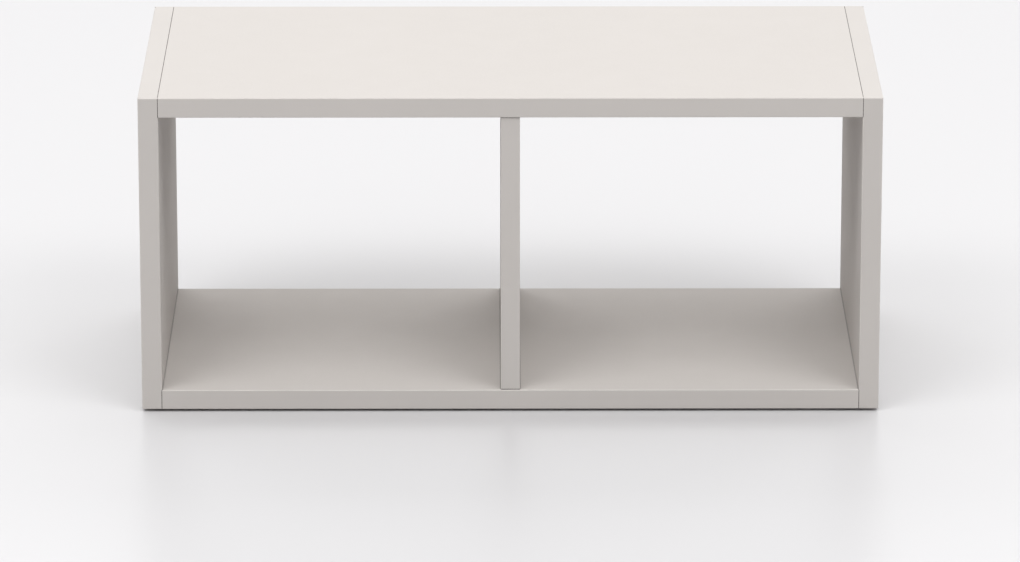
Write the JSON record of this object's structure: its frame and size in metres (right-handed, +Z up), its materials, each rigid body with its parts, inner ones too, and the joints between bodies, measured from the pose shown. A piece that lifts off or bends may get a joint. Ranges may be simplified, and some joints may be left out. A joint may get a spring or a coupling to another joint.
{
  "type": "wall bookshelf",
  "caption": "Low open shelf box of matt greige melamine boards with a centre divider, no back, cam-lock board joints, low glides and rear bores for hidden wall rods.",
  "frame": {"origin": "on the ground under the middle of the shelf, in the plane of the glides' undersides", "axes": "+X to the right along the width, +Y from the front to the rear, +Z up"},
  "size_m": [0.7, 0.35, 0.3085],
  "materials": {
    "melamine_board": "matt melamine-faced particleboard, warm greige",
    "edge_band": "satin edge band, warm greige",
    "die_cast_zinc": "bare die-cast zinc, satin",
    "zinc_plated_steel": "bright zinc-plated steel",
    "beech": "raw beech",
    "glide_plastic": "matt dark grey plastic"
  },
  "bodies": {
    "shelf": {"bottom_front_band": "edge_band", "bottom_panel": "melamine_board", "bottom_rear_band": "edge_band", "cam_bolts": "zinc_plated_steel", "centre_divider": "melamine_board", "divider_front_band": "edge_band", "divider_rear_band": "edge_band", "dowels": "beech", "glide_centre_front": "glide_plastic", "glide_centre_rear": "glide_plastic", "glide_left_front": "glide_plastic", "glide_left_rear": "glide_plastic", "glide_right_front": "glide_plastic", "glide_right_rear": "glide_plastic", "left_side_bottom_band": "edge_band", "left_side_front_band": "edge_band", "left_side_panel": "melamine_board", "left_side_rear_band": "edge_band", "left_side_top_band": "edge_band", "right_side_bottom_band": "edge_band", "right_side_front_band": "edge_band", "right_side_panel": "melamine_board", "right_side_rear_band": "edge_band", "right_side_top_band": "edge_band", "top_front_band": "edge_band", "top_panel": "melamine_board", "top_rear_band": "edge_band"},
    "cam_top_left_front": {"cam_top_left_front": "die_cast_zinc"},
    "cam_top_left_rear": {"cam_top_left_rear": "die_cast_zinc"},
    "cam_top_right_front": {"cam_top_right_front": "die_cast_zinc"},
    "cam_top_right_rear": {"cam_top_right_rear": "die_cast_zinc"},
    "cam_bottom_left_front": {"cam_bottom_left_front": "die_cast_zinc"},
    "cam_bottom_left_rear": {"cam_bottom_left_rear": "die_cast_zinc"},
    "cam_bottom_right_front": {"cam_bottom_right_front": "die_cast_zinc"},
    "cam_bottom_right_rear": {"cam_bottom_right_rear": "die_cast_zinc"},
    "cam_divider_top_front": {"cam_divider_top_front": "die_cast_zinc"},
    "cam_divider_top_rear": {"cam_divider_top_rear": "die_cast_zinc"},
    "cam_divider_bottom_front": {"cam_divider_bottom_front": "die_cast_zinc"},
    "cam_divider_bottom_rear": {"cam_divider_bottom_rear": "die_cast_zinc"}
  },
  "joints": [
    {"name": "turn_top_left_front", "type": "hinge", "parent": "shelf", "child": "cam_top_left_front", "pos_m": [-0.307, -0.125, 0.299], "axis": [0, 0, -1], "range_deg": [0, 180]},
    {"name": "turn_top_left_rear", "type": "hinge", "parent": "shelf", "child": "cam_top_left_rear", "pos_m": [-0.307, 0.125, 0.299], "axis": [0, 0, -1], "range_deg": [0, 180]},
    {"name": "turn_top_right_front", "type": "hinge", "parent": "shelf", "child": "cam_top_right_front", "pos_m": [0.307, -0.125, 0.299], "axis": [0, 0, -1], "range_deg": [0, 180]},
    {"name": "turn_top_right_rear", "type": "hinge", "parent": "shelf", "child": "cam_top_right_rear", "pos_m": [0.307, 0.125, 0.299], "axis": [0, 0, -1], "range_deg": [0, 180]},
    {"name": "turn_bottom_left_front", "type": "hinge", "parent": "shelf", "child": "cam_bottom_left_front", "pos_m": [-0.307, -0.125, 0.012], "axis": [0, 0, -1], "range_deg": [0, 180]},
    {"name": "turn_bottom_left_rear", "type": "hinge", "parent": "shelf", "child": "cam_bottom_left_rear", "pos_m": [-0.307, 0.112, 0.012], "axis": [0, 0, -1], "range_deg": [0, 180]},
    {"name": "turn_bottom_right_front", "type": "hinge", "parent": "shelf", "child": "cam_bottom_right_front", "pos_m": [0.307, -0.125, 0.012], "axis": [0, 0, -1], "range_deg": [0, 180]},
    {"name": "turn_bottom_right_rear", "type": "hinge", "parent": "shelf", "child": "cam_bottom_right_rear", "pos_m": [0.307, 0.112, 0.012], "axis": [0, 0, -1], "range_deg": [0, 180]},
    {"name": "turn_divider_top_front", "type": "hinge", "parent": "shelf", "child": "cam_divider_top_front", "pos_m": [0, -0.1235, 0.2655], "axis": [1, 0, 0], "range_deg": [0, 180]},
    {"name": "turn_divider_top_rear", "type": "hinge", "parent": "shelf", "child": "cam_divider_top_rear", "pos_m": [0, 0.112, 0.2655], "axis": [1, 0, 0], "range_deg": [0, 180]},
    {"name": "turn_divider_bottom_front", "type": "hinge", "parent": "shelf", "child": "cam_divider_bottom_front", "pos_m": [0, -0.1235, 0.0455], "axis": [1, 0, 0], "range_deg": [0, 180]},
    {"name": "turn_divider_bottom_rear", "type": "hinge", "parent": "shelf", "child": "cam_divider_bottom_rear", "pos_m": [0, 0.112, 0.0455], "axis": [1, 0, 0], "range_deg": [0, 180]}
  ]
}
